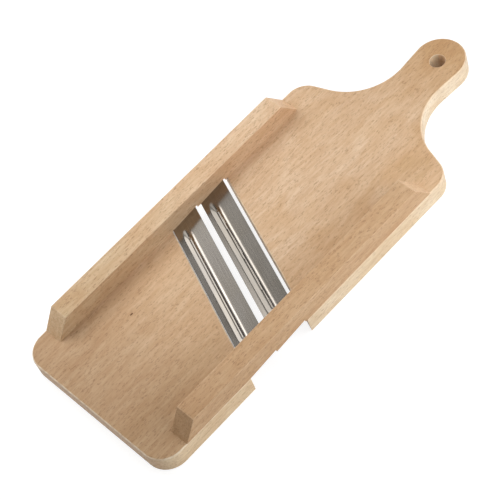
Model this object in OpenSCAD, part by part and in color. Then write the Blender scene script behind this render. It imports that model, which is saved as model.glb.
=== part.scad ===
// Two-blade kitchen slicer of beech: a board in two parts, bridged by two rails that carry
// a pair of steel blades across the throat. It rests on z = 0, x runs across it and y runs
// from the near end towards the handle.

/* [Board] */
// Width of the board
board_w = 130; // [124:1:150]
// Overall length, from the near end to the end of the handle
board_len = 338; // [334:1:350]
// Thickness of both parts of the board
board_t = 13.4; // [11:0.2:18]
// Corner radius at the near end
near_r = 15.5; // [8:0.5:20]
// Radius that eases every arris of the board
ease_r = 0.9; // [0.5:0.1:1.5]

/* [Handle] */
// Distance from the near end to the centres of the shoulder corners
shoulder_y = 244.3; // [242:0.1:246]
// Corner radius of each shoulder
shoulder_r = 14.5; // [10:0.5:15]
// Distance from the near end to the narrowest place of the handle
neck_y = 299.4; // [298:0.1:302]
// Width of the handle at that place
neck_w = 32.6; // [28:0.2:34]
// Radius of the hollow between the shoulder and the handle
neck_r = 39.6; // [36:0.2:40]
// Width of the handle's round end
head_w = 35.2; // [34.4:0.2:38]
// Diameter of the hanging hole
hole_d = 10.6; // [6:0.2:14]
// Distance from the end of the handle to the centre of the hanging hole
hole_inset = 19.2; // [16:0.2:24]

/* [Rails] */
// Width of each rail
rail_w = 14.3; // [13:0.1:18]
// Height of each rail above the board
rail_h = 14.3; // [12:0.1:20]
// Length of each rail along its underside
rail_len = 216.8; // [205:0.2:218]
// Distance from the near end of the board to the rails
rail_y = 20.7; // [18:0.1:24]
// Length of the sloped cut at each end of a rail
rail_slope = 10.8; // [6:0.2:14]
// Chamfer along the rails' upper arrises
rail_ease = 0.7; // [0.3:0.1:1.2]

/* [Throat and blades] */
// Distance from the near end to the middle of the throat
throat_y = 125.9; // [122:0.1:130]
// Width of the throat, square to the blades
throat_w = 46.4; // [46:0.1:50]
// Angle of the blades across the board
throat_angle = 21.6; // [18:0.1:24]
// Width of a blade
blade_w = 19.6; // [18.5:0.1:19.8]
// Length of a blade
blade_len = 126; // [124:0.5:127]
// Thickness of the blade steel
blade_t = 0.9; // [0.6:0.1:1.2]
// Slope of the blades, which rise towards their cutting edges
blade_tilt = 5.3; // [3:0.1:6]
// Distance from one blade to the next
blade_pitch = 23.7; // [23.5:0.05:24]
// Width of the ground bevel under the cutting edge
bevel_w = 2.4; // [1:0.1:4]
// Width of the stiffening bead
bead_w = 7.3; // [5:0.1:7.6]
// Depth of the bead below the blade's face
bead_d = 1.2; // [0.8:0.1:1.6]
// Distance from the back of a blade to the middle of its bead
bead_y = 7; // [6.5:0.1:8]
// Length of the bead
bead_len = 99; // [80:1:100]
// Distance along the blade from its middle to the middle of its bead
bead_x = 1; // [-2:0.5:2]

/* [Nails] */
// Shank diameter of the nails that hold the rails
rail_nail_d = 1.8; // [1.4:0.1:2]
// Length of those nails
rail_nail_len = 23.5; // [20:0.5:24]
// Shank diameter of the small nails that hold the blades
blade_nail_d = 1.4; // [1:0.1:1.6]
// Length of those small nails
blade_nail_len = 9; // [7:0.5:10]

/* [Hidden] */
$fn = 48;
near_y = -board_len / 2;
half_w = board_w / 2;
rail_x = half_w - rail_w / 2;
rail_y0 = near_y + rail_y;
rail_y1 = rail_y0 + rail_len;
throat_y0 = near_y + throat_y;
joint_span = throat_w / cos(throat_angle) / 2;
back_gap = 0.15;
seat_lift = 0.1;
seat_clear = 1.3;
rail_nail_head = [4, 0.9];
blade_nail_head = [3, 0.6];
nail_sink = 0.2;
blade_nail_u = 59.5;
blade_nail_v = [4.2, 14.2];
arc_step = 5;
ease_steps = 3;
over = 1;

rail_nails = [
    for (side = [-1, 1], joint = [-1, 1]) each joint_nails(side, joint)
];
blade_nails = [
    for (blade = [0, 1], side = [-1, 1], v = blade_nail_v) [blade, side * blade_nail_u, v]
];

// ---- outlines ----

function arc(c, r, from, to) =
    let (n = ceil(abs(to - from) / arc_step))
    [for (i = [0 : n]) let (a = from + (to - from) * i / n) c + r * [cos(a), sin(a)]];

// Direction from circle a to the straight line that passes between circles a and b
// and touches both; turn is 1 or -1 for the two such lines.
function tangent_side(a, ra, b, rb, turn) =
    let (d = b - a)
    atan2(d[1], d[0]) + turn * acos((ra + rb) / norm(d));

function mirrored(p) = [for (i = [len(p) - 1 : -1 : 0]) [-p[i][0], p[i][1]]];

// y of the throat's edge at x, on the landing side (-1) or the handle side (1)
function edge_y(x, side) = throat_y0 - x * tan(throat_angle) + side * joint_span;

function landing_outline() =
    let (c = [half_w - near_r, near_y + near_r])
    concat(
        [[-half_w, edge_y(-half_w, -1)]],
        mirrored(arc(c, near_r, -90, 0)),
        arc(c, near_r, -90, 0),
        [[half_w, edge_y(half_w, -1)]]
    );

function handle_side() =
    let (
        shoulder = [half_w - shoulder_r, near_y + shoulder_y],
        neck = [neck_w / 2 + neck_r, near_y + neck_y],
        head = [0, -near_y - head_w / 2],
        slope = tangent_side(shoulder, shoulder_r, neck, neck_r, -1),
        flare = tangent_side(head, head_w / 2, neck, neck_r, 1)
    )
    concat(
        arc(shoulder, shoulder_r, 0, slope),
        arc(neck, neck_r, slope + 180, flare + 180),
        arc(head, head_w / 2, flare, 90)
    );

function handle_outline() =
    let (side = handle_side())
    concat(
        [[half_w, edge_y(half_w, 1)]],
        side,
        mirrored([for (i = [0 : len(side) - 2]) side[i]]),
        [[-half_w, edge_y(-half_w, 1)]]
    );

// The outline p, run anticlockwise, moved inwards by d
function inset(p, d) = [
    for (i = [0 : len(p) - 1])
    let (
        before = unit(p[i] - p[(i + len(p) - 1) % len(p)]),
        after = unit(p[(i + 1) % len(p)] - p[i]),
        n1 = [-before[1], before[0]],
        n2 = [-after[1], after[0]]
    )
    p[i] + (n1 + n2) * d / (1 + n1 * n2)
];

function unit(v) = v / norm(v);

// ---- shared shapes ----

// A plate of this outline whose arrises are eased to a quarter round. The outline's first
// and last points lie opposite each other, and so on inwards, so the faces are cut in strips.
module eased_plate(outline, t, r) {
    n = len(outline);
    up = [for (k = [0 : ease_steps]) 90 * k / ease_steps];
    rings = concat(
        [for (a = up) [r * (1 - sin(a)), r * (1 - cos(a))]],
        [for (k = [ease_steps : -1 : 0]) [r * (1 - sin(up[k])), t - r * (1 - cos(up[k]))]]
    );
    last = len(rings) - 1;
    points = [for (g = rings) each [for (q = inset(outline, g[0])) [q[0], q[1], g[1]]]];
    sides = [
        for (g = [0 : last - 1], i = [0 : n - 1])
        [g * n + i, (g + 1) * n + i, (g + 1) * n + (i + 1) % n, g * n + (i + 1) % n]
    ];
    bottom = [
        for (i = [0 : ceil(n / 2) - 2])
        i + 2 == n - 1 - i ? [i, i + 1, i + 2] : [i, i + 1, n - 2 - i, n - 1 - i]
    ];
    top = [for (strip = bottom) [for (k = [len(strip) - 1 : -1 : 0]) last * n + strip[k]]];
    polyhedron(points, concat(sides, bottom, top));
}

module in_throat() {
    translate([0, throat_y0, 0]) rotate(-throat_angle) children();
}

// Local x along the blade from its middle, y across it from its back, z square to its face
module on_blade(blade) {
    back = -throat_w / 2 + back_gap + blade * blade_pitch;
    middle = -(back + blade_w / 2) * tan(throat_angle);
    in_throat()
        translate([middle, back, board_t + seat_lift])
        rotate([blade_tilt, 0, 0])
        children();
}

// A wire nail that points up, its head ending at z = 0 and its shank starting there
module nail(d, head, length) {
    rotate_extrude()
        polygon([
            [0, -head[1]], [head[0] / 2, -head[1]], [head[0] / 2, 0],
            [d / 2, 0], [d / 2, length - 1.5 * d], [0, length]
        ]);
}

// The places along one rail where nails hold it to one part of the board
function joint_nails(side, joint) =
    let (
        edge = edge_y(side * rail_x, joint),
        from = joint < 0 ? rail_y0 + 12 : edge + 10,
        to = joint < 0 ? edge - 10 : rail_y1 - 12,
        count = to - from > 60 ? 3 : 2
    )
    [for (i = [0 : count - 1]) [side * rail_x, from + (to - from) * i / (count - 1)]];

module rail_nail_at(place) {
    translate([place[0], place[1], nail_sink + rail_nail_head[1]])
        nail(rail_nail_d, rail_nail_head, rail_nail_len);
}

module rail_nail_holes() {
    for (place = rail_nails) {
        rail_nail_at(place);
        translate([place[0], place[1], -over])
            cylinder(d = rail_nail_head[0], h = over + nail_sink + rail_nail_head[1]);
    }
}

module blade_nail_at(place) {
    on_blade(place[0])
        translate([place[1], place[2], -blade_t])
        nail(blade_nail_d, blade_nail_head, blade_nail_len);
}

// ---- the boards ----

module handle_board() {
    color("burlywood")
        difference() {
            eased_plate(handle_outline(), board_t, ease_r);
            hanging_hole();
            rail_nail_holes();
        }
}

module hanging_hole() {
    r = hole_d / 2;
    translate([0, -near_y - hole_inset, 0])
        rotate_extrude()
        polygon([
            [0, -over], [r + ease_r + over, -over], [r, ease_r],
            [r, board_t - ease_r], [r + ease_r + over, board_t + over], [0, board_t + over]
        ]);
}

module landing_board() {
    color("burlywood")
        difference() {
            eased_plate(landing_outline(), board_t, ease_r);
            rail_nail_holes();
        }
}

// ---- the rails ----

// Each rail is planed to its section, cut to a slope at both ends, and notched
// underneath with one sloping seat for each blade.
module rail(side) {
    e = rail_ease;
    color("tan")
        difference() {
            intersection() {
                translate([side * rail_x, rail_y0, board_t])
                    rotate([90, 0, 0])
                    mirror([0, 0, 1])
                    linear_extrude(rail_len)
                    polygon([
                        [-rail_w / 2, 0], [rail_w / 2, 0], [rail_w / 2, rail_h - e],
                        [rail_w / 2 - e, rail_h], [e - rail_w / 2, rail_h],
                        [-rail_w / 2, rail_h - e]
                    ]);
                translate([side * rail_x - rail_w, 0, board_t])
                    rotate([90, 0, 90])
                    linear_extrude(2 * rail_w)
                    polygon([
                        [rail_y0, 0], [rail_y1, 0],
                        [rail_y1 - rail_slope, rail_h], [rail_y0 + rail_slope, rail_h]
                    ]);
            }
            for (blade = [0, 1]) blade_seat(blade);
            for (place = rail_nails) rail_nail_at(place);
            for (place = blade_nails) blade_nail_at(place);
        }
}

module blade_seat(blade) {
    depth = 4;
    on_blade(blade)
        translate([-board_w, 0, -depth])
        cube([2 * board_w, blade_w + seat_clear, depth]);
}

// ---- the blades ----

// A strip of steel, ground to an edge from below and pressed down into a stiffening bead
module blade(number) {
    bead_r = (bead_w * bead_w / 4 + bead_d * bead_d) / (2 * bead_d);
    color("silver")
        difference() {
            on_blade(number) {
                translate([-blade_len / 2, 0, 0])
                    rotate([90, 0, 90])
                    linear_extrude(blade_len)
                    polygon([
                        [0, -blade_t], [blade_w - bevel_w, -blade_t],
                        [blade_w, -0.1], [blade_w, 0], [0, 0]
                    ]);
                intersection() {
                    bead_core(bead_r + blade_t, bead_r - bead_d);
                    translate([-blade_len / 2, 0, -blade_t / 2 - blade_w])
                        cube([blade_len, blade_w, blade_w]);
                }
            }
            on_blade(number) bead_core(bead_r, bead_r - bead_d);
            for (place = blade_nails) blade_nail_at(place);
        }
}

// A rod with round ends along the bead, its axis at this height above the blade's face
module bead_core(r, height) {
    reach = bead_len / 2 - bead_w / 2;
    translate([bead_x, bead_y, height]) {
        translate([-reach, 0, 0]) rotate([0, 90, 0]) cylinder(r = r, h = 2 * reach);
        for (side = [-1, 1]) translate([side * reach, 0, 0]) sphere(r = r);
    }
}

module rail_nail(i) {
    color("gray") rail_nail_at(rail_nails[i]);
}

module blade_nail(i) {
    color("gray") blade_nail_at(blade_nails[i]);
}

handle_board();
landing_board();
rail(-1);  // left_rail
rail(1);  // right_rail
blade(0);  // near_blade
blade(1);  // far_blade
for (i = [1 : len(rail_nails)])
    rail_nail(i - 1);
for (i = [1 : len(blade_nails)])
    blade_nail(i - 1);
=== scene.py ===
# %% [markdown]
# # A two-blade beech slicer
#
# This lesson dresses a flat kitchen slicer: a beech board in two parts, two square rails,
# two steel blades and the nails that hold them. The construction is already packed as a
# fixed frame, in metres, with +Z up and +Y towards the handle. Here each wooden and steel
# piece is made again with eased edges that catch the light, and every surface gets a finish.

# %% Load the frame
import math

import bmesh
import bpy
from mathutils import Matrix, Vector


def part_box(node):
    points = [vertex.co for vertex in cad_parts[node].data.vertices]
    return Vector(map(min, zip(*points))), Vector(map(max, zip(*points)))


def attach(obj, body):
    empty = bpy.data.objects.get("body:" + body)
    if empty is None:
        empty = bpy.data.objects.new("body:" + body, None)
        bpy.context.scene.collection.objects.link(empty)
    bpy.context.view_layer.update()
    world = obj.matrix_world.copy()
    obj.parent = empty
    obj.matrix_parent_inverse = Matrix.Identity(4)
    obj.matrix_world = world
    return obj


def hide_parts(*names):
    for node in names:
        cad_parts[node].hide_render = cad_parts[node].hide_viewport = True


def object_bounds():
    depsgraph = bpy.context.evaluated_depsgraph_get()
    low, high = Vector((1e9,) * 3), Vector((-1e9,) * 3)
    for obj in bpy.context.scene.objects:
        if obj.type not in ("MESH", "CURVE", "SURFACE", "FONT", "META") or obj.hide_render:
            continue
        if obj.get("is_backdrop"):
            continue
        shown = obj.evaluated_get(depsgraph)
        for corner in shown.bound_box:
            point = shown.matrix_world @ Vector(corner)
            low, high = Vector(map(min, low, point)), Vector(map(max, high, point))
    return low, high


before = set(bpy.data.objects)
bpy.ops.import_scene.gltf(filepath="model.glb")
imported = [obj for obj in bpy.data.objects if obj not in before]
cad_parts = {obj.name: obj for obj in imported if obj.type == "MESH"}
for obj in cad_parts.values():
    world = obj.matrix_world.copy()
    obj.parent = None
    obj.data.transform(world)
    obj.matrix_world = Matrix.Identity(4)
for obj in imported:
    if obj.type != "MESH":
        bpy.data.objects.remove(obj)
cad_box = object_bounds()
MM = 0.001
print("the frame's nodes:", sorted(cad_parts))

# %% [markdown]
# ## The camera
#
# A small product is photographed from far off with a long lens, so that its edges stay
# nearly parallel. A camera can be aimed with a constraint, but a direction turned into a
# rotation is plainer: the lens looks at one point on the board, then rolls about its axis
# until the board runs from the lower left to the upper right.

# %% Camera
CAMERA_PLACE = Vector((571.5, -312.1, 882.1)) * MM
CAMERA_TARGET = Vector((0.52, -28.79, 13.4)) * MM
CAMERA_ROLL = math.radians(-23.31)
CAMERA_LENS = 125.2

camera_data = bpy.data.cameras.new("camera")
camera_data.lens = CAMERA_LENS
camera_data.sensor_width = 36
camera_data.clip_start = 0.05
camera_data.clip_end = 20
camera = bpy.data.objects.new("camera", camera_data)
bpy.context.scene.collection.objects.link(camera)
aim = (CAMERA_TARGET - CAMERA_PLACE).to_track_quat("-Z", "Y").to_matrix()
turned = aim @ Matrix.Rotation(CAMERA_ROLL, 3, "Z")
camera.matrix_world = Matrix.Translation(CAMERA_PLACE) @ turned.to_4x4()
bpy.context.scene.camera = camera
bpy.context.scene.view_settings.view_transform = "Standard"
print("the camera stands", round((CAMERA_TARGET - CAMERA_PLACE).length, 3), "m off")

# %% [markdown]
# ## Light and floor
#
# The slicer lies on a white table in a white room, under wide soft lamps. One stands close
# on the left and gives the rails their soft shadows, one hangs over the handle, and two low
# ones on the right keep the sides of the boards bright. One strong lamp would be simpler,
# but it would leave hard shadows. The table shows white to the camera and still takes a
# trace of the slicer's shadow.

# %% Light helpers
def new_tree(owner):
    """Gives a material or world an empty node tree and hands back its nodes and a linker."""
    owner.use_nodes = True
    tree = owner.node_tree
    tree.nodes.clear()

    def link(out_socket, in_socket):
        tree.links.new(out_socket, in_socket)

    return tree.nodes, link


def calculate(nodes, link, operation, first, second):
    """One Math node; each value may be a socket or a number."""
    sum_node = nodes.new("ShaderNodeMath")
    sum_node.operation = operation
    for given, socket in ((first, sum_node.inputs[0]), (second, sum_node.inputs[1])):
        if hasattr(given, "default_value"):
            link(given, socket)
        else:
            socket.default_value = given
    return sum_node.outputs[0]


def remap(nodes, link, value, low, high, to_low=0.0, to_high=1.0):
    """Takes low..high to to_low..to_high, smoothly and clamped."""
    ranged = nodes.new("ShaderNodeMapRange")
    ranged.interpolation_type = "SMOOTHSTEP"
    ranged.inputs["From Min"].default_value = low
    ranged.inputs["From Max"].default_value = high
    ranged.inputs["To Min"].default_value = to_low
    ranged.inputs["To Max"].default_value = to_high
    link(value, ranged.inputs["Value"])
    return ranged.outputs["Result"]


def direction(azimuth, elevation):
    """A unit vector; azimuth 0 is +X and 90 is +Y, in degrees."""
    turn, rise = math.radians(azimuth), math.radians(elevation)
    level_part = math.cos(rise)
    return Vector((math.cos(turn) * level_part, math.sin(turn) * level_part, math.sin(rise)))


# %% Lamps
# Each lamp: azimuth and elevation in degrees, distance and size in metres, and watts.
LAMP_TARGET = Vector((-0.01, 0.035, 0))
LAMPS = {
    "left_lamp": (210, 50, 0.4, 0.3, 1.02),
    "overhead_lamp": (45, 70, 0.6, 0.4, 0.96),
    "right_lamp": (0, 20, 0.6, 0.4, 0.8),
    "handle_lamp": (30, 30, 0.4, 0.3, 0.62),
}
for name, (azimuth, elevation, distance, size, watts) in LAMPS.items():
    lamp_data = bpy.data.lights.new(name, "AREA")
    lamp_data.shape = "SQUARE"
    lamp_data.size = size
    lamp_data.energy = watts
    lamp = bpy.data.objects.new(name, lamp_data)
    lamp.visible_glossy = False
    bpy.context.scene.collection.objects.link(lamp)
    towards_lamp = direction(azimuth, elevation)
    turn = (-towards_lamp).to_track_quat("-Z", "Y").to_matrix().to_4x4()
    lamp.matrix_world = Matrix.Translation(LAMP_TARGET + towards_lamp * distance) @ turn
print("lamps:", ", ".join(LAMPS))

# %% [markdown]
# ## The room and what the steel mirrors
#
# Wood is lit by the room's low white walls. Bright steel shows what it mirrors, so it gets
# a room of its own: a dim one with round soft lights in it, as a photographer would hang
# round a knife. The dark between two lights draws the dark lines along each bead. Cards
# standing in the scene could do this too, but they would also shade the wood.

# %% White room
WALL_LIGHT = 0.77
WALL_FULL_BELOW, WALL_NONE_ABOVE = 22, 28
MIRRORED_DIM = 0.16
world = bpy.data.worlds.new("white_room")
bpy.context.scene.world = world
nodes, link = new_tree(world)
where = nodes.new("ShaderNodeTexCoord").outputs["Generated"]
height = nodes.new("ShaderNodeSeparateXYZ")
link(where, height.inputs[0])
wall_full = math.sin(math.radians(WALL_FULL_BELOW))
wall_none = math.sin(math.radians(WALL_NONE_ABOVE))
walls = remap(nodes, link, height.outputs["Z"], wall_full, wall_none, WALL_LIGHT, 0)
path = nodes.new("ShaderNodeLightPath")


def softbox(azimuth, elevation, full_within, none_beyond, strength):
    """A round soft light on the sky, given by its place, its radii in degrees and its strength."""
    nearness = nodes.new("ShaderNodeVectorMath")
    nearness.operation = "DOT_PRODUCT"
    link(where, nearness.inputs[0])
    nearness.inputs[1].default_value = direction(azimuth, elevation)
    inner, outer = math.cos(math.radians(full_within)), math.cos(math.radians(none_beyond))
    return remap(nodes, link, nearness.outputs["Value"], outer, inner, 0.0, strength)


# Each soft light: azimuth, elevation, the radii where it is full and gone, and its strength.
SOFTBOXES = {
    "behind_the_main_lamp": (194, 43, 5, 10, 3.2),
    "left_glow": (182, 37, 6, 24, 1.65),
    "far_left_box": (148, 26, 12, 20, 1.6),
    "far_box": (113, 32, 14, 24, 2.0),
    "ceiling_box": (120, 78, 12, 24, 1.2),
}
mirrored = MIRRORED_DIM
for shape in SOFTBOXES.values():
    mirrored = calculate(nodes, link, "ADD", softbox(*shape), mirrored)
gloss_part = calculate(nodes, link, "MULTIPLY", mirrored, path.outputs["Is Glossy Ray"])
not_gloss = calculate(nodes, link, "SUBTRACT", 1.0, path.outputs["Is Glossy Ray"])
plain_part = calculate(nodes, link, "MULTIPLY", walls, not_gloss)
room_strength = calculate(nodes, link, "ADD", gloss_part, plain_part)
room = nodes.new("ShaderNodeBackground")
link(room_strength, room.inputs["Strength"])
room.inputs["Color"].default_value = (1, 1, 1, 1)
backdrop = nodes.new("ShaderNodeBackground")
backdrop.inputs["Color"].default_value = (1, 1, 1, 1)
backdrop.inputs["Strength"].default_value = 1
choose = nodes.new("ShaderNodeMixShader")
link(path.outputs["Is Camera Ray"], choose.inputs["Fac"])
link(room.outputs[0], choose.inputs[1])
link(backdrop.outputs[0], choose.inputs[2])
world_out = nodes.new("ShaderNodeOutputWorld")
link(choose.outputs[0], world_out.inputs["Surface"])
print("white room:", len(nodes), "nodes")

# %% Floor
FLOOR_HALF = 3.0
FLOOR_DROP = 0.1 * MM
TABLE_GREY = (0.3, 0.3, 0.3, 1)
TABLE_GLOW = 0.86
PAPER_WHITE = (0.85, 0.85, 0.85, 1)
floor_bm = bmesh.new()
bmesh.ops.create_grid(floor_bm, x_segments=1, y_segments=1, size=FLOOR_HALF)
bmesh.ops.translate(floor_bm, verts=floor_bm.verts, vec=(0, 0, -FLOOR_DROP))
floor_mesh = bpy.data.meshes.new("floor")
floor_bm.to_mesh(floor_mesh)
floor_bm.free()
floor = bpy.data.objects.new("floor", floor_mesh)
bpy.context.scene.collection.objects.link(floor)
floor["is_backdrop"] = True

floor_paint = bpy.data.materials.new("floor_white")
nodes, link = new_tree(floor_paint)
shade = nodes.new("ShaderNodeBsdfDiffuse")
shade.inputs["Color"].default_value = TABLE_GREY
glow = nodes.new("ShaderNodeEmission")
glow.inputs["Strength"].default_value = TABLE_GLOW
shown = nodes.new("ShaderNodeAddShader")
link(shade.outputs[0], shown.inputs[0])
link(glow.outputs[0], shown.inputs[1])
paper = nodes.new("ShaderNodeBsdfDiffuse")
paper.inputs["Color"].default_value = PAPER_WHITE
choose = nodes.new("ShaderNodeMixShader")
path = nodes.new("ShaderNodeLightPath")
seen = path.outputs["Is Camera Ray"]
for ray in ("Is Glossy Ray", "Is Transmission Ray"):
    seen = calculate(nodes, link, "MAXIMUM", seen, path.outputs[ray])
link(seen, choose.inputs["Fac"])
link(paper.outputs[0], choose.inputs[1])
link(shown.outputs[0], choose.inputs[2])
floor_out = nodes.new("ShaderNodeOutputMaterial")
link(choose.outputs[0], floor_out.inputs["Surface"])
floor_mesh.materials.append(floor_paint)

# %% [markdown]
# ## Sizes
#
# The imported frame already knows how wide, long and thick everything is, so the sizes that
# it can give are read from it. Radii and slopes can't be read from a box, so they are
# driving dimensions here, in the same millimetres as the drawing.

# %% Sizes from the frame
board_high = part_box("handle_board")[1]
near_low, near_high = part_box("landing_board")
rail_low, rail_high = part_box("right_rail")
half_w = board_high.x
board_t = board_high.z
near_y = near_low.y
far_y = board_high.y
rail_h = rail_high.z - rail_low.z
board_size = (2 * half_w, far_y - near_y, board_t)
print("board:", " x ".join(str(round(size / MM, 1)) for size in board_size), "mm")

# %% Sizes from the drawing
EASE_R = 0.9 * MM
RIM_EASE = 0.3 * MM
NEAR_R = 15.5 * MM
SHOULDER = Vector((50.5, 75.3, 0)) * MM
SHOULDER_R = 14.5 * MM
NECK = Vector((55.9, 130.4, 0)) * MM
NECK_R = 39.6 * MM
HEAD_R = 17.6 * MM
HOLE_R = 5.3 * MM
HOLE_INSET = 19.2 * MM
THROAT_Y = -43.1 * MM
THROAT_W = 46.4 * MM
THROAT_ANGLE = math.radians(21.6)
RAIL_SLOPE = 10.8 * MM
THROAT_SPARE = 20 * MM
NEAR_SPARE = 5 * MM

FORWARD = Vector((math.sin(THROAT_ANGLE), math.cos(THROAT_ANGLE), 0))
throat_middle = Vector((0, THROAT_Y, 0))
head_centre = Vector((0, far_y - HEAD_R, 0))
hole_centre = Vector((0, far_y - HOLE_INSET, 0))

# %% [markdown]
# ## Cutting the boards
#
# Each board is sawn from flat stock, so its shape is an outline with a thickness. The
# outline could be typed as a long list of points, but its round stretches are true arcs:
# a single vertex spun about each arc's centre draws them. Only the right half is drawn,
# with half of the hanging hole, and the mirror makes the rest. That also leaves a face
# without a hole in it, which extrudes cleanly. The throat is one cut with a plane.

# %% Outline helpers
ARC_STEP = 3


def swing(bm, start, centre, degrees):
    """Spins one vertex about a centre, leaves the arc as edges, and returns its far end."""
    steps = max(2, round(abs(degrees) / ARC_STEP))
    spun = bmesh.ops.spin(
        bm, geom=[start], cent=centre, axis=(0, 0, 1), angle=math.radians(degrees), steps=steps
    )
    return next(part for part in spun["geom_last"] if isinstance(part, bmesh.types.BMVert))


def join(bm, start, place):
    """Draws a straight stretch from a vertex to a place."""
    end = bm.verts.new(place)
    bm.edges.new((start, end))
    return end


def polar(centre, radius, degrees):
    """The point at that angle on a circle."""
    angle = math.radians(degrees)
    return centre + Vector((math.cos(angle), math.sin(angle), 0)) * radius


def touching_angle(a, radius_a, b, radius_b, turn):
    """Where on circle a the line leaves that passes between both circles and touches them."""
    apart = b - a
    towards = math.atan2(apart.y, apart.x)
    aside = math.acos((radius_a + radius_b) / apart.length)
    return math.degrees(towards) + turn * math.degrees(aside)


# %% Board helpers
TOUCH = 1e-6
ARRIS_FROM = math.radians(25)
SMOOTH_BELOW = math.radians(35)


def level(edge):
    """True for an edge of the top or the underside."""
    return abs(edge.verts[0].co.z - edge.verts[1].co.z) < TOUCH


def outer(edge):
    """True for a level edge that isn't part of the hanging hole's rim."""
    nearest = min((v.co.xy - hole_centre.xy).length for v in edge.verts)
    return level(edge) and nearest > HOLE_R + TOUCH


def rim(edge):
    """True for an edge of the hanging hole's rim."""
    return level(edge) and not outer(edge)


def mirrored_board(bm):
    """Thickens the right half of a board, mirrors it and takes away the seam."""
    for vert in bm.verts:
        if abs(vert.co.x) < TOUCH:
            vert.co.x = 0
    half = bmesh.ops.contextual_create(bm, geom=bm.edges[:])["faces"]
    raised = bmesh.ops.extrude_face_region(bm, geom=half)
    top = [part for part in raised["geom"] if isinstance(part, bmesh.types.BMVert)]
    bmesh.ops.translate(bm, verts=top, vec=(0, 0, board_t))
    middle = [f for f in bm.faces if all(abs(v.co.x) < TOUCH for v in f.verts)]
    bmesh.ops.delete(bm, geom=middle, context="FACES_ONLY")
    everything = bm.verts[:] + bm.edges[:] + bm.faces[:]
    bmesh.ops.mirror(bm, geom=everything, axis="X", merge_dist=TOUCH)
    bmesh.ops.recalc_face_normals(bm, faces=bm.faces)
    seam = [e for e in bm.edges if all(abs(v.co.x) < TOUCH for v in e.verts) and level(e)]
    upper = [e for e in seam if e.verts[0].co.z > board_t / 2]
    lower = [e for e in seam if e.verts[0].co.z < board_t / 2]
    longest = [max(side, key=lambda e: e.calc_length()) for side in (upper, lower)]
    bmesh.ops.dissolve_edges(bm, edges=longest)


def saw(bm, place, keep_away):
    """Cuts with a plane, drops what lies on the keep_away side and closes the cut."""
    everything = bm.verts[:] + bm.edges[:] + bm.faces[:]
    cut = bmesh.ops.bisect_plane(
        bm, geom=everything, dist=TOUCH, plane_co=place, plane_no=keep_away, clear_outer=True
    )
    edges = [part for part in cut["geom_cut"] if isinstance(part, bmesh.types.BMEdge)]
    bmesh.ops.holes_fill(bm, edges=edges)


def ease_arrises(bm, radius, segments, wanted):
    """Rounds the sharp edges that the wanted test picks, and marks the rounded strips."""
    mark = bm.verts.layers.float.get("arris") or bm.verts.layers.float.new("arris")
    bmesh.ops.recalc_face_normals(bm, faces=bm.faces)
    sharp = [
        e for e in bm.edges
        if len(e.link_faces) == 2 and e.calc_face_angle() > ARRIS_FROM and wanted(e)
    ]
    rounded = bmesh.ops.bevel(
        bm, geom=sharp, offset=radius, offset_type="OFFSET", segments=segments,
        profile=0.5, affect="EDGES", material=-1, clamp_overlap=False,
    )
    strips = set(rounded["faces"])
    for vert in rounded["verts"]:
        vert[mark] = 1.0 if all(face in strips for face in vert.link_faces) else 0.0


def piece_from(bm, name):
    """Turns a finished bmesh into a piece with smooth faces and crisp sharp edges."""
    bmesh.ops.remove_doubles(bm, verts=bm.verts, dist=TOUCH)
    bmesh.ops.recalc_face_normals(bm, faces=bm.faces)
    for face in bm.faces:
        face.smooth = True
    for edge in bm.edges:
        edge.smooth = len(edge.link_faces) == 2 and edge.calc_face_angle() < SMOOTH_BELOW
    mesh = bpy.data.meshes.new(name)
    bm.to_mesh(mesh)
    bm.free()
    piece = bpy.data.objects.new(name, mesh)
    bpy.context.scene.collection.objects.link(piece)
    return piece


def drill(piece, cutter):
    """Takes the cutter's shape out of the piece and throws the cutter away."""
    cut = piece.modifiers.new("drill", "BOOLEAN")
    cut.operation = "DIFFERENCE"
    cut.solver = "EXACT"
    cut.object = cutter
    bpy.context.view_layer.update()
    shaped = piece.evaluated_get(bpy.context.evaluated_depsgraph_get())
    drilled = bpy.data.meshes.new_from_object(shaped)
    drilled.name = piece.name
    piece.modifiers.clear()
    old = piece.data
    piece.data = drilled
    bpy.data.meshes.remove(old)
    bpy.data.objects.remove(cutter)


def even_shading(piece):
    """Lets each large flat face rule the shading of the small ones beside it."""
    shading = piece.modifiers.new("even_shading", "WEIGHTED_NORMAL")
    shading.keep_sharp = True
    shading.weight = 100


# %% Handle board
bm = bmesh.new()
shoulder_end = touching_angle(SHOULDER, SHOULDER_R, NECK, NECK_R, -1)
head_start = touching_angle(head_centre, HEAD_R, NECK, NECK_R, 1)
rough_y = THROAT_Y - THROAT_SPARE
start = bm.verts.new((0, rough_y, 0))
at = join(bm, start, (half_w, rough_y, 0))
at = join(bm, at, polar(SHOULDER, SHOULDER_R, 0))
at = swing(bm, at, SHOULDER, shoulder_end)
at = join(bm, at, polar(NECK, NECK_R, shoulder_end + 180))
at = swing(bm, at, NECK, head_start - shoulder_end)
at = join(bm, at, polar(head_centre, HEAD_R, head_start))
at = swing(bm, at, head_centre, 90 - head_start)
at = join(bm, at, polar(hole_centre, HOLE_R, 90))
at = swing(bm, at, hole_centre, -180)
bm.edges.new((at, start))
mirrored_board(bm)
saw(bm, throat_middle + FORWARD * THROAT_W / 2, -FORWARD)
ease_arrises(bm, EASE_R, 4, outer)
ease_arrises(bm, RIM_EASE, 2, rim)
handle_piece = piece_from(bm, "planed_handle_board")
print("handle board:", len(handle_piece.data.polygons), "faces")

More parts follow.
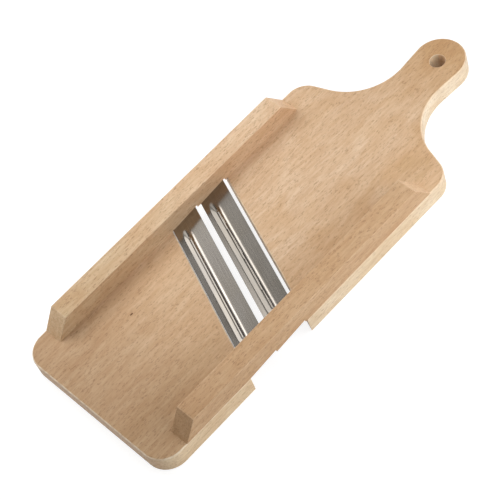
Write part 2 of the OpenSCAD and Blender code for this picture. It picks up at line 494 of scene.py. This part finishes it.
# %% Landing board
bm = bmesh.new()
corner = Vector((half_w - NEAR_R, near_y + NEAR_R, 0))
start = bm.verts.new((0, near_y, 0))
at = join(bm, start, polar(corner, NEAR_R, -90))
at = swing(bm, at, corner, 90)
rough_y = near_high.y + NEAR_SPARE
at = join(bm, at, (half_w, rough_y, 0))
at = join(bm, at, (0, rough_y, 0))
bm.edges.new((at, start))
mirrored_board(bm)
saw(bm, throat_middle - FORWARD * THROAT_W / 2, FORWARD)
ease_arrises(bm, EASE_R, 4, level)
landing_piece = piece_from(bm, "planed_landing_board")
print("landing board:", len(landing_piece.data.polygons), "faces")

# %% [markdown]
# ## Nail holes
#
# Wire nails come up through the boards into the rails, and their heads sit just below the
# surface. A hole could be modelled into each face by hand, but a drill is a subtraction:
# one cutter holds all the head holes of a board, each placed from its nail's own box.

# %% Nail holes
HEAD_DEPTH = 1.1 * MM
HEAD_ROOM = 0.08 * MM
rail_nails = sorted(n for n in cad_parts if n.startswith("rail_nail"))
blade_nails = sorted(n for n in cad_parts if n.startswith("blade_nail"))


def head_holes(nails):
    """One cutter with a short round hole for each nail's head."""
    bm = bmesh.new()
    for nail in nails:
        low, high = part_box(nail)
        middle = (low + high) / 2
        radius = (high.x - low.x) / 2 + HEAD_ROOM
        place = Matrix.Translation((middle.x, middle.y, 0))
        bmesh.ops.create_cone(
            bm, cap_ends=True, segments=40, radius1=radius, radius2=radius,
            depth=2 * HEAD_DEPTH, matrix=place,
        )
    return piece_from(bm, "head_holes")


def nails_under(board_piece, near_side):
    """The rail nails whose heads lie under one of the two boards."""
    inside = []
    for nail in rail_nails:
        low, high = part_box(nail)
        middle = (low + high) / 2
        ahead = (middle - throat_middle).dot(FORWARD) > 0
        if ahead != near_side:
            inside.append(nail)
    return inside


for board, near_side in ((handle_piece, False), (landing_piece, True)):
    nails = nails_under(board, near_side)
    drill(board, head_holes(nails))
    even_shading(board)
    print(board.name, "has", len(nails), "nail holes")

# %% [markdown]
# ## The rails
#
# A rail is a square strip, sawn to a slope at both ends and notched underneath with one
# slanting seat for each blade. The strip is a box that two planes cut to length. The
# seats are two long boxes laid at the blades' own angle and tilt, taken out together.

# %% Rails
SEAT_LIFT = 0.1 * MM
SEAT_CLEAR = 1.3 * MM
BACK_GAP = 0.15 * MM
BLADE_W = 19.6 * MM
BLADE_PITCH = 23.7 * MM
BLADE_TILT = math.radians(5.3)
RAIL_EASE = 0.55 * MM
SEAT_DEPTH = 4 * MM


def blade_place(number):
    """Where blade 0 or 1 lies: x along it from its middle, y across it from its back."""
    back = -THROAT_W / 2 + BACK_GAP + number * BLADE_PITCH
    middle = -(back + BLADE_W / 2) * math.tan(THROAT_ANGLE)
    return (
        Matrix.Translation(throat_middle)
        @ Matrix.Rotation(-THROAT_ANGLE, 4, "Z")
        @ Matrix.Translation((middle, back, board_t + SEAT_LIFT))
        @ Matrix.Rotation(BLADE_TILT, 4, "X")
    )


def box_between(bm, low, high, place=None):
    """A box from its lowest to its highest corner, laid where the matrix says."""
    low, high = Vector(low), Vector(high)
    made = bmesh.ops.create_cube(bm, size=1)["verts"]
    bmesh.ops.scale(bm, verts=made, vec=high - low)
    bmesh.ops.translate(bm, verts=made, vec=(low + high) / 2)
    if place is not None:
        bmesh.ops.transform(bm, matrix=place, verts=made)


def blade_seats():
    """One cutter with the seats of both blades."""
    bm = bmesh.new()
    seat_end = BLADE_W + SEAT_CLEAR
    low, high = (-2 * half_w, 0, -SEAT_DEPTH), (2 * half_w, seat_end, 0)
    for number in (0, 1):
        box_between(bm, low, high, blade_place(number))
    return piece_from(bm, "blade_seats")


def upper(edge):
    """True for an edge of a rail that reaches its upper half, which leaves the seats crisp."""
    return max(v.co.z for v in edge.verts) > board_t + rail_h / 2


def make_rail(node, name):
    """Planes, saws, notches and eases one rail, inside its node's own box."""
    low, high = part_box(node)
    bm = bmesh.new()
    box_between(bm, low, high)
    end_slope = Vector((0, rail_h, RAIL_SLOPE)).normalized()
    saw(bm, high - Vector((0, 0, rail_h)), end_slope)
    saw(bm, low, Vector((0, -end_slope.y, end_slope.z)))
    sawn = piece_from(bm, name + "_sawn")
    drill(sawn, blade_seats())
    bm = bmesh.new()
    bm.from_mesh(sawn.data)
    bpy.data.objects.remove(sawn)
    ease_arrises(bm, RAIL_EASE, 3, upper)
    rail = piece_from(bm, name)
    even_shading(rail)
    return rail


left_piece = make_rail("left_rail", "planed_left_rail")
right_piece = make_rail("right_rail", "planed_right_rail")
print("rails:", len(left_piece.data.polygons), "and", len(right_piece.data.polygons), "faces")

# %% [markdown]
# ## The blades
#
# A blade is a strip of thin steel. A press pushes one long bead down into it, so that it
# doesn't bend, and its front edge is ground sharp from below. A subdivided box would need
# its bead carved by hand. Here a fine grid is lowered by the bead's section and then
# thickened. Each wall of the section is an arc over the brow, a straight slope and an arc
# round the bottom, and the bead runs out in a long point at its left end. A cut along the
# strip gives the ground bevel its crisp inner edge.

# %% Blade helpers
BLADE_LEN = 126 * MM
BLADE_T = 0.9 * MM
EDGE_T = 0.1 * MM
GRIND_W = 2.4 * MM
BEAD_X = 1 * MM
BEAD_Y = 7 * MM
BEAD_LEN = 101 * MM
BEAD_W = 7.9 * MM
LEFT_RUN_OUT = 11 * MM
RIGHT_RUN_OUT = 6 * MM
BEAD_D = 1.245 * MM
FRONT_WALL = (1.0 * MM, 5.9 * MM)
NEAR_BACK_WALL = (3.1 * MM, 2.8 * MM)
FAR_BACK_WALL = (3.1 * MM, 1.0 * MM)
FAR_SKEW = 0.0095
NEAR_BENDS = (-5, -2)
FAR_BENDS = (-3.5, 7.5)
GRID_U = 0.7 * MM
GRID_V = 0.25 * MM
FLAT_FROM = 54 * MM
BENT_WITHIN = 50 * MM


def wall_slope(bottom_r, brow_r):
    """The slope at which a wall between these two radii comes down to the bead's depth."""
    low, high = 0.0, math.radians(60)
    for _ in range(40):
        slope = (low + high) / 2
        straight = BEAD_W / 2 - (bottom_r + brow_r) * math.sin(slope)
        fall = (bottom_r + brow_r) * (1 - math.cos(slope)) + straight * math.tan(slope)
        low, high = (slope, high) if fall < BEAD_D else (low, slope)
    return low


def wall_depth(aside, slope, bottom_r, brow_r):
    """Depth of one wall of the bead, this far from its middle line: brow, slope and bottom."""
    from_rim = BEAD_W / 2 - aside
    if from_rim <= 0:
        return 0.0
    on_brow = min(from_rim, brow_r * math.sin(slope))
    on_slope = min(from_rim, BEAD_W / 2 - bottom_r * math.sin(slope)) - on_brow
    fall = brow_r - math.sqrt(brow_r ** 2 - on_brow ** 2) + on_slope * math.tan(slope)
    if aside < bottom_r * math.sin(slope):
        fall += math.sqrt(bottom_r ** 2 - aside ** 2) - bottom_r * math.cos(slope)
    return fall


def back_drop(along, across, left_bend, right_bend):
    """How far down the strip behind the bead lies, for a bend in degrees at each end."""
    behind = BEAD_Y - BEAD_W / 2 - across
    if behind <= 0:
        return 0.0
    share = along / BLADE_LEN + 0.5
    bend = math.radians(left_bend + (right_bend - left_bend) * share)
    inside = (FLAT_FROM - abs(along - BEAD_X)) / (FLAT_FROM - BENT_WITHIN)
    inside = min(max(inside, 0), 1)
    return behind * math.tan(bend) * inside ** 2 * (3 - 2 * inside)


def make_blade(number, name, back_wall, skew, bends):
    """Presses, thickens and grinds one blade, and lays it in its seat."""
    bm = bmesh.new()
    bmesh.ops.create_grid(
        bm, x_segments=round(BLADE_LEN / GRID_U), y_segments=round(BLADE_W / GRID_V), size=0.5
    )
    bmesh.ops.scale(bm, verts=bm.verts, vec=(BLADE_LEN, BLADE_W, 1))
    bmesh.ops.translate(bm, verts=bm.verts, vec=(0, BLADE_W / 2, 0))
    front_slope, back_slope = wall_slope(*FRONT_WALL), wall_slope(*back_wall)
    for vert in bm.verts:
        along, across = vert.co.x, vert.co.y
        run_out = RIGHT_RUN_OUT if along > BEAD_X else LEFT_RUN_OUT
        into_end = abs(along - BEAD_X) - BEAD_LEN / 2 + run_out
        past_end = max(into_end, 0) / run_out * BEAD_W / 2
        ahead = across - BEAD_Y - skew * along
        aside = math.hypot(past_end, ahead)
        to_front = 0.5 + 0.5 * ahead / max(aside, TOUCH)
        front = wall_depth(aside, front_slope, *FRONT_WALL)
        back = wall_depth(aside, back_slope, *back_wall)
        vert.co.z = -(back + (front - back) * to_front)
        vert.co.z -= back_drop(along, across, *bends)
    grind_line = Vector((0, BLADE_W - GRIND_W, 0))
    everything = bm.verts[:] + bm.edges[:] + bm.faces[:]
    bmesh.ops.bisect_plane(bm, geom=everything, dist=TOUCH, plane_co=grind_line, plane_no=(0, 1, 0))
    pressed = set(bm.verts)
    bmesh.ops.solidify(bm, geom=bm.faces[:], thickness=BLADE_T)
    lower = [v for v in bm.verts if v not in pressed]
    if sum(v.co.z for v in lower) > sum(v.co.z for v in pressed):
        lower = list(pressed)
    for vert in lower:
        ground = max(vert.co.y - grind_line.y, 0) / GRIND_W
        vert.co.z += ground * (BLADE_T - EDGE_T)
    bmesh.ops.transform(bm, matrix=blade_place(number), verts=bm.verts)
    blade = piece_from(bm, name)
    even_shading(blade)
    return blade


near_piece = make_blade(0, "steel_near_blade", NEAR_BACK_WALL, 0, NEAR_BENDS)
far_piece = make_blade(1, "steel_far_blade", FAR_BACK_WALL, FAR_SKEW, FAR_BENDS)
for wall in (FRONT_WALL, NEAR_BACK_WALL, FAR_BACK_WALL):
    print("a wall of the bead slopes by", round(math.degrees(wall_slope(*wall)), 1), "degrees")
print(len(near_piece.data.polygons), "faces a blade")

# %% [markdown]
# ## Who stands for what
#
# Each new piece stands for one node of the frame and rides on the only body, the root.
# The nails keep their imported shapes, which are right as they are.

# %% Ride and replace
PIECES = {
    "handle_board": (handle_piece, "board_wood"),
    "landing_board": (landing_piece, "board_wood"),
    "left_rail": (left_piece, "rail_wood"),
    "right_rail": (right_piece, "rail_wood"),
    "near_blade": (near_piece, "blade_steel"),
    "far_blade": (far_piece, "blade_steel"),
}
for node, (piece, slot_name) in PIECES.items():
    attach(piece, "root")
    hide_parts(node)
print(len(PIECES), "pieces ride on the root")

# %% [markdown]
# ## Beech
#
# Beech is pale pinkish tan, with fine darker lines along the grain, tiny short flecks and
# a slow cloudiness from plank to plank. A painted image would need unwrapping and would
# not meet at the corners. Solid noise, stretched along the grain, runs through the piece
# as real grain does, so the side and the end of a strip show lines and specks that belong
# together. The pattern is a group, because both boards and both rails use it, each from
# its own place in the tree.

# %% Group helpers
def new_group(name, inputs, outputs):
    """An empty shader group with named inputs and outputs, and its nodes and linker."""
    group = bpy.data.node_groups.new(name, "ShaderNodeTree")
    for label, kind in inputs:
        group.interface.new_socket(name=label, in_out="INPUT", socket_type=kind)
    for label, kind in outputs:
        group.interface.new_socket(name=label, in_out="OUTPUT", socket_type=kind)
    group_in = group.nodes.new("NodeGroupInput")
    group_out = group.nodes.new("NodeGroupOutput")

    def link(out_socket, in_socket):
        group.links.new(out_socket, in_socket)

    return group, group_in, group_out, link


def stretch(nodes, link, source, scale, place=(0, 0, 0), turn=(0, 0, 0)):
    """A Mapping node on a coordinate socket."""
    mapping = nodes.new("ShaderNodeMapping")
    mapping.inputs["Location"].default_value = place
    mapping.inputs["Rotation"].default_value = turn
    mapping.inputs["Scale"].default_value = scale
    link(source, mapping.inputs["Vector"])
    return mapping.outputs["Vector"]


def noise(nodes, link, source, detail, rough=0.5, warp=0.0):
    """Noise of scale 1 on a coordinate that is already stretched."""
    texture = nodes.new("ShaderNodeTexNoise")
    texture.inputs["Scale"].default_value = 1
    texture.inputs["Detail"].default_value = detail
    texture.inputs["Roughness"].default_value = rough
    texture.inputs["Distortion"].default_value = warp
    link(source, texture.inputs["Vector"])
    return texture.outputs["Fac"]


def blend_colours(nodes, link, mask, first, second, kind="MIX"):
    """Mixes two colours by a mask; each may be a socket or a plain colour."""
    mix = nodes.new("ShaderNodeMix")
    mix.data_type = "RGBA"
    mix.blend_type = kind
    link(mask, mix.inputs["Factor"])
    for given, socket in ((first, mix.inputs["A"]), (second, mix.inputs["B"])):
        if hasattr(given, "default_value"):
            link(given, socket)
        else:
            socket.default_value = given
    return mix.outputs["Result"]


def tone(red, green, blue):
    """A colour given as it looks on a screen, 0 to 255, made linear."""
    def linear(part):
        part = part / 255
        return part / 12.92 if part <= 0.04045 else ((part + 0.055) / 1.055) ** 2.4
    return (linear(red), linear(green), linear(blue), 1)


# %% Beech grain group
beech, beech_in, beech_out, link = new_group(
    "beech_grain",
    [("Vector", "NodeSocketVector")],
    [(output, "NodeSocketFloat") for output in ("Cloud", "Band", "Line", "Fleck", "Height")],
)
nodes = beech.nodes
source = beech_in.outputs["Vector"]
cloud = noise(nodes, link, stretch(nodes, link, source, (60, 26, 60)), 5, 0.6, 0.8)
band = noise(nodes, link, stretch(nodes, link, source, (110, 16, 110)), 5, 0.6, 0.3)
line = noise(nodes, link, stretch(nodes, link, source, (620, 70, 620)), 4, 0.65, 0.1)
fleck = noise(nodes, link, stretch(nodes, link, source, (1350, 360, 1350)), 3, 0.6)
link(remap(nodes, link, cloud, 0.32, 0.68), beech_out.inputs["Cloud"])
link(remap(nodes, link, band, 0.35, 0.65), beech_out.inputs["Band"])
link(remap(nodes, link, line, 0.35, 0.65), beech_out.inputs["Line"])
fleck_mask = remap(nodes, link, fleck, 0.54, 0.68)
link(fleck_mask, beech_out.inputs["Fleck"])
raised = calculate(nodes, link, "SUBTRACT", line, fleck_mask)
link(raised, beech_out.inputs["Height"])
print("group:", beech.name)

# %% [markdown]
# ## Where beech darkens, pales and wears, and where light and shade are painted on it
#
# Planed wood isn't one tone all over, and this group also paints on it light and shade that the
# lamps here don't give. Flat faces darken towards the ends, and at the near end that is painted
# shade, where the light falls off; the left rail takes a further painted shade towards the near end.
# Sawn end grain takes the light otherwise than a planed face. Beyond a wandering line the right part
# of a board is darker and more ochre, and a ragged darker oval on the handle board is a painted
# shadow of the right rail's far end. The eased arrises are paler, partly rubbed pale and partly a
# painted highlight. Part of the paleness of the sides and the sawn slopes is the wood's, and part is
# painted light that the lamps here don't give; the left rail's darker sides are painted shade. Each
# of these could be a painted mask, but they follow from where a point lies and how it faces, so one
# group works them out for all four pieces. A piece that names no tone for one of them gets white
# there, which changes nothing.

# %% Places on the beech
PLACE_TONES = ("Side", "Sawn near", "Sawn far", "End", "Near", "Right part", "Rail shadow", "Speck")
END_STARTS, END_FULL = (-0.075, 0.085), (-0.16, 0.165)
NEAR_STARTS, NEAR_FULL = 0.04, -0.13
RIGHT_PART_FROM, RIGHT_PART_TO = 0.016, 0.034
RIGHT_PART_WANDER = 0.03
RAIL_SHADOW_MIDDLE, RAIL_SHADOW_REACH = (0.044, 0.076), (0.009, 0.011)
SPECK_MIDDLE, SPECK_REACH = (-0.028, -0.107), (0.0006, 0.0012)
SPOT_FADE = 0.15
places, places_in, places_out, link = new_group(
    "beech_places",
    [("Vector", "NodeSocketVector"), ("Normal", "NodeSocketVector"), ("Arris", "NodeSocketFloat")],
    [(output, "NodeSocketFloat") for output in PLACE_TONES + ("Arris",)],
)
nodes = places.nodes
where = places_in.outputs["Vector"]
place = nodes.new("ShaderNodeSeparateXYZ")
link(where, place.inputs[0])
facing = nodes.new("ShaderNodeSeparateXYZ")
link(places_in.outputs["Normal"], facing.inputs[0])
upright = calculate(nodes, link, "ABSOLUTE", facing.outputs["Z"], 0.0)
flat = remap(nodes, link, upright, 0.85, 0.97)
# End: flat faces darken towards both ends; at the near end this is painted shade, where the light
# falls off.
near_end = remap(nodes, link, place.outputs["Y"], END_STARTS[0], END_FULL[0])
far_end = remap(nodes, link, place.outputs["Y"], END_STARTS[1], END_FULL[1])
either_end = calculate(nodes, link, "MAXIMUM", near_end, far_end)
link(calculate(nodes, link, "MULTIPLY", either_end, flat), places_out.inputs["End"])
# Near: painted shade, darker towards the near end, where the light falls off.
link(remap(nodes, link, place.outputs["Y"], NEAR_STARTS, NEAR_FULL), places_out.inputs["Near"])
# Side and the two sawn slopes: partly the wood's own tone, partly painted light that the lamps don't
# give; where a piece's tone here is darker, as on the left rail's sides, it is painted shade.
sideways = calculate(nodes, link, "ABSOLUTE", facing.outputs["X"], 0.0)
link(remap(nodes, link, sideways, 0.45, 0.85), places_out.inputs["Side"])
link(remap(nodes, link, facing.outputs["Y"], -0.5, -0.75), places_out.inputs["Sawn near"])
link(remap(nodes, link, facing.outputs["Y"], 0.5, 0.75), places_out.inputs["Sawn far"])

# Right part: darker and more ochre beyond a wandering line, towards the right rail.
wander = noise(nodes, link, stretch(nodes, link, where, (40, 9, 40)), 3, 0.5)
wander = calculate(nodes, link, "MULTIPLY", wander, RIGHT_PART_WANDER)
wander = calculate(nodes, link, "SUBTRACT", wander, RIGHT_PART_WANDER / 2)
across = calculate(nodes, link, "ADD", place.outputs["X"], wander)
link(remap(nodes, link, across, RIGHT_PART_FROM, RIGHT_PART_TO), places_out.inputs["Right part"])


def spot(middle, reach, ragged):
    """A mask that is 1 inside a ragged oval on the face and 0 outside it."""
    scale = (1 / reach[0], 1 / reach[1], 0)
    shifted = stretch(nodes, link, where, scale, (-middle[0] * scale[0], -middle[1] * scale[1], 0))
    distance = nodes.new("ShaderNodeVectorMath")
    distance.operation = "LENGTH"
    link(shifted, distance.inputs[0])
    edge = noise(nodes, link, stretch(nodes, link, where, (160, 60, 160)), 2, 0.5)
    edge = calculate(nodes, link, "MULTIPLY", edge, ragged)
    moved = calculate(nodes, link, "ADD", distance.outputs["Value"], edge)
    rim_at = 1 + ragged / 2
    return remap(nodes, link, moved, rim_at + SPOT_FADE, rim_at - SPOT_FADE)


# Rail shadow: a painted shadow of the right rail's far end, a ragged darker oval on the handle
# board.
link(spot(RAIL_SHADOW_MIDDLE, RAIL_SHADOW_REACH, 1.2), places_out.inputs["Rail shadow"])
link(spot(SPECK_MIDDLE, SPECK_REACH, 0.4), places_out.inputs["Speck"])
# The rounded arrises are paler: partly rubbed wear, partly a painted highlight.
wear_and_highlight_noise = noise(nodes, link, stretch(nodes, link, where, (220, 220, 220)), 3, 0.6)
wear_and_highlight_share = remap(nodes, link, wear_and_highlight_noise, 0.3, 0.6, 0.35, 1)
arris_wear_and_highlight = calculate(nodes, link, "MULTIPLY", places_in.outputs["Arris"], wear_and_highlight_share)
link(arris_wear_and_highlight, places_out.inputs["Arris"])
print("group:", places.name)


# %% Beech material
SAME = (1, 1, 1, 1)


def weighted(nodes, link, mask, strength):
    """A mask times a strength."""
    return calculate(nodes, link, "MULTIPLY", mask, strength)


def beech_material(name, place, strengths, tones):
    """One piece of beech: its place in the tree, its tones and how strong each part is."""
    material = bpy.data.materials.new(name)
    nodes, link = new_tree(material)
    where = nodes.new("ShaderNodeTexCoord")
    cut = stretch(nodes, link, where.outputs["Object"], (1, 1, 1), place)
    grain = nodes.new("ShaderNodeGroup")
    grain.node_tree = beech
    link(cut, grain.inputs["Vector"])
    arris = nodes.new("ShaderNodeAttribute")
    arris.attribute_name = "arris"
    finish = nodes.new("ShaderNodeGroup")
    finish.node_tree = places
    link(where.outputs["Object"], finish.inputs["Vector"])
    link(where.outputs["Normal"], finish.inputs["Normal"])
    link(arris.outputs["Fac"], finish.inputs["Arris"])

    colour = blend_colours(nodes, link, grain.outputs["Cloud"], tones["pale"], tones["warm"])
    for mask, strength, shade in (
        (grain.outputs["Band"], strengths["band"], tones["dark"]),
        (grain.outputs["Line"], strengths["line"], tones["dark"]),
        (grain.outputs["Fleck"], strengths["fleck"], tones["fleck"]),
    ):
        colour = blend_colours(nodes, link, weighted(nodes, link, mask, strength), colour, shade)
    for output in PLACE_TONES:
        shade = tones.get(output.lower(), SAME)
        colour = blend_colours(nodes, link, finish.outputs[output], colour, shade, "MULTIPLY")
    mask = weighted(nodes, link, finish.outputs["Arris"], strengths["arris"])
    colour = blend_colours(nodes, link, mask, colour, tones["arris"])

    surface = nodes.new("ShaderNodeBsdfPrincipled")
    link(colour, surface.inputs["Base Color"])
    roughness = remap(nodes, link, grain.outputs["Line"], 0, 1, 0.48, 0.6)
    link(roughness, surface.inputs["Roughness"])
    surface.inputs["Specular IOR Level"].default_value = 0.3
    bump = nodes.new("ShaderNodeBump")
    bump.inputs["Strength"].default_value = 0.3
    bump.inputs["Distance"].default_value = 0.0001
    link(grain.outputs["Height"], bump.inputs["Height"])
    link(bump.outputs["Normal"], surface.inputs["Normal"])
    out = nodes.new("ShaderNodeOutputMaterial")
    link(surface.outputs[0], out.inputs["Surface"])
    return material


# %% The four pieces of beech
# The arris tone and strength are partly rubbed wear and partly a painted highlight, brightest on the
# landing board's throat edge.
BOARD_STRENGTHS = {"band": 0.25, "line": 0.36, "fleck": 0.45, "arris": 0.9}
RAIL_STRENGTHS = {"band": 0.25, "line": 0.36, "fleck": 0.5, "arris": 0.35}
# The base tones run from paler on the handle board and left rail to darker on the landing board and
# right rail: partly the wood's own, partly painted shade where the light falls off towards the near
# right.
BEECH = {
    "beech_handle_board": (handle_piece, (0.02, 0, 0.03), BOARD_STRENGTHS, {
        "pale": tone(229, 201, 170), "warm": tone(219, 186, 150), "dark": tone(192, 150, 110),
        "fleck": tone(150, 108, 72), "side": (1.13, 1.34, 1.55, 1), "end": (0.84, 0.75, 0.62, 1),
        "right part": (0.96, 0.93, 0.88, 1), "rail shadow": (0.93, 0.92, 0.89, 1),
        "arris": tone(238, 214, 184),
    }),
    "beech_landing_board": (landing_piece, (0.27, 0.1, 0.05), BOARD_STRENGTHS, {
        "pale": tone(221, 191, 157), "warm": tone(214, 180, 144), "dark": tone(184, 143, 104),
        "fleck": tone(140, 100, 66), "side": (1.19, 1.36, 1.5, 1), "end": (0.8, 0.77, 0.74, 1),
        "right part": (0.95, 0.94, 0.91, 1), "speck": (0.3, 0.24, 0.2, 1),
        "arris": tone(245, 228, 203),
    }),
    # Left rail: its darker sides and its near tone are painted shade; its pale sawn slopes are
    # partly painted light.
    "beech_left_rail": (left_piece, (0.5, 0.4, 0.1), RAIL_STRENGTHS, {
        "pale": tone(232, 206, 175), "warm": tone(226, 193, 159), "dark": tone(194, 152, 112),
        "fleck": tone(146, 104, 70), "side": (0.88, 0.85, 0.82, 1), "end": (0.97, 0.95, 0.92, 1),
        "sawn near": (1.25, 1.22, 1.18, 1), "sawn far": (1.25, 1.22, 1.18, 1),
        "near": (0.8, 0.8, 0.75, 1), "arris": tone(238, 210, 178),
    }),
    # Right rail: the pale sawn far slope is painted light, for light from behind that the lamps
    # lack; its darker near slope is partly painted shade.
    "beech_right_rail": (right_piece, (0.8, 0.2, 0.2), RAIL_STRENGTHS, {
        "pale": tone(210, 177, 141), "warm": tone(204, 168, 130), "dark": tone(175, 133, 93),
        "fleck": tone(134, 92, 56), "side": (0.94, 0.94, 0.93, 1), "end": (0.88, 0.85, 0.83, 1),
        "sawn near": (0.93, 0.9, 0.85, 1), "sawn far": (1.36, 1.45, 1.6, 1),
        "arris": tone(232, 202, 168),
    }),
}
for name, (piece, place, strengths, tones) in BEECH.items():
    material = beech_material(name, place, strengths, tones)
    piece.data.materials.clear()
    piece.data.materials.append(material)
print("pieces of beech:", ", ".join(BEECH))

# %% [markdown]
# ## Steel
#
# The blades are cold-rolled strip, bright but not polished. Rolling leaves fine marks
# along the strip, which blur what it mirrors across them. The steel is a metal with a low
# roughness that a stretched noise varies, and the same marks as a very shallow bump.

# %% Rolled steel
def steel_material(name, turn, bright, dull, roughness):
    """Rolled strip steel, its marks along the turned X axis."""
    material = bpy.data.materials.new(name)
    nodes, link = new_tree(material)
    where = nodes.new("ShaderNodeTexCoord")
    along = stretch(nodes, link, where.outputs["Object"], (1, 1, 1), (0, 0, 0), turn)
    marks = noise(nodes, link, stretch(nodes, link, along, (30, 2400, 2400)), 3, 0.6)
    smudges = noise(nodes, link, stretch(nodes, link, along, (45, 60, 60)), 3, 0.5, 0.5)
    shade = remap(nodes, link, marks, 0.3, 0.7)
    colour = blend_colours(nodes, link, shade, bright, dull)
    cast = weighted(nodes, link, remap(nodes, link, smudges, 0.35, 0.65), 0.5)
    colour = blend_colours(nodes, link, cast, colour, (0.93, 0.95, 1.0, 1), "MULTIPLY")
    surface = nodes.new("ShaderNodeBsdfPrincipled")
    surface.inputs["Metallic"].default_value = 1
    link(colour, surface.inputs["Base Color"])
    rough = remap(nodes, link, smudges, 0.3, 0.7, roughness, roughness + 0.06)
    link(rough, surface.inputs["Roughness"])
    bump = nodes.new("ShaderNodeBump")
    bump.inputs["Strength"].default_value = 0.1
    bump.inputs["Distance"].default_value = 0.00002
    link(marks, bump.inputs["Height"])
    link(bump.outputs["Normal"], surface.inputs["Normal"])
    out = nodes.new("ShaderNodeOutputMaterial")
    link(surface.outputs[0], out.inputs["Surface"])
    return material


ALONG_BLADE = (0, 0, THROAT_ANGLE)
ALONG_NAIL = (0, math.pi / 2, 0)
BLADE_ROUGHNESS = 0.17
NAIL_ROUGHNESS = 0.32
near_steel = steel_material(
    "rolled_near_blade_steel", ALONG_BLADE, tone(167, 160, 151), tone(156, 149, 140), BLADE_ROUGHNESS
)
# The far blade's tones are darker than the near blade's, on the same steel: painted shade in what it
# mirrors.
far_steel = steel_material(
    "rolled_far_blade_steel", ALONG_BLADE, tone(153, 146, 137), tone(142, 136, 127), BLADE_ROUGHNESS
)
nail_steel = steel_material(
    "drawn_nail_steel", ALONG_NAIL, tone(168, 163, 158), tone(150, 145, 140), NAIL_ROUGHNESS
)
for blade, steel in ((near_piece, near_steel), (far_piece, far_steel)):
    blade.data.materials.clear()
    blade.data.materials.append(steel)
for nail in rail_nails + blade_nails:
    for material_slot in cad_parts[nail].material_slots:
        material_slot.material = nail_steel
print("steel on 2 blades and", len(rail_nails + blade_nails), "nails")

# %% [markdown]
# ## Finish
#
# Both boxes, the imported one and the dressed one, are measured and printed. The dressed
# model has to stay inside the imported box.

# %% Measure and finish
visual_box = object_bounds()
for label, box in (("frame", cad_box), ("dressed", visual_box)):
    print(label, "box, mm:", [round((box[1][i] - box[0][i]) / MM, 2) for i in range(3)])
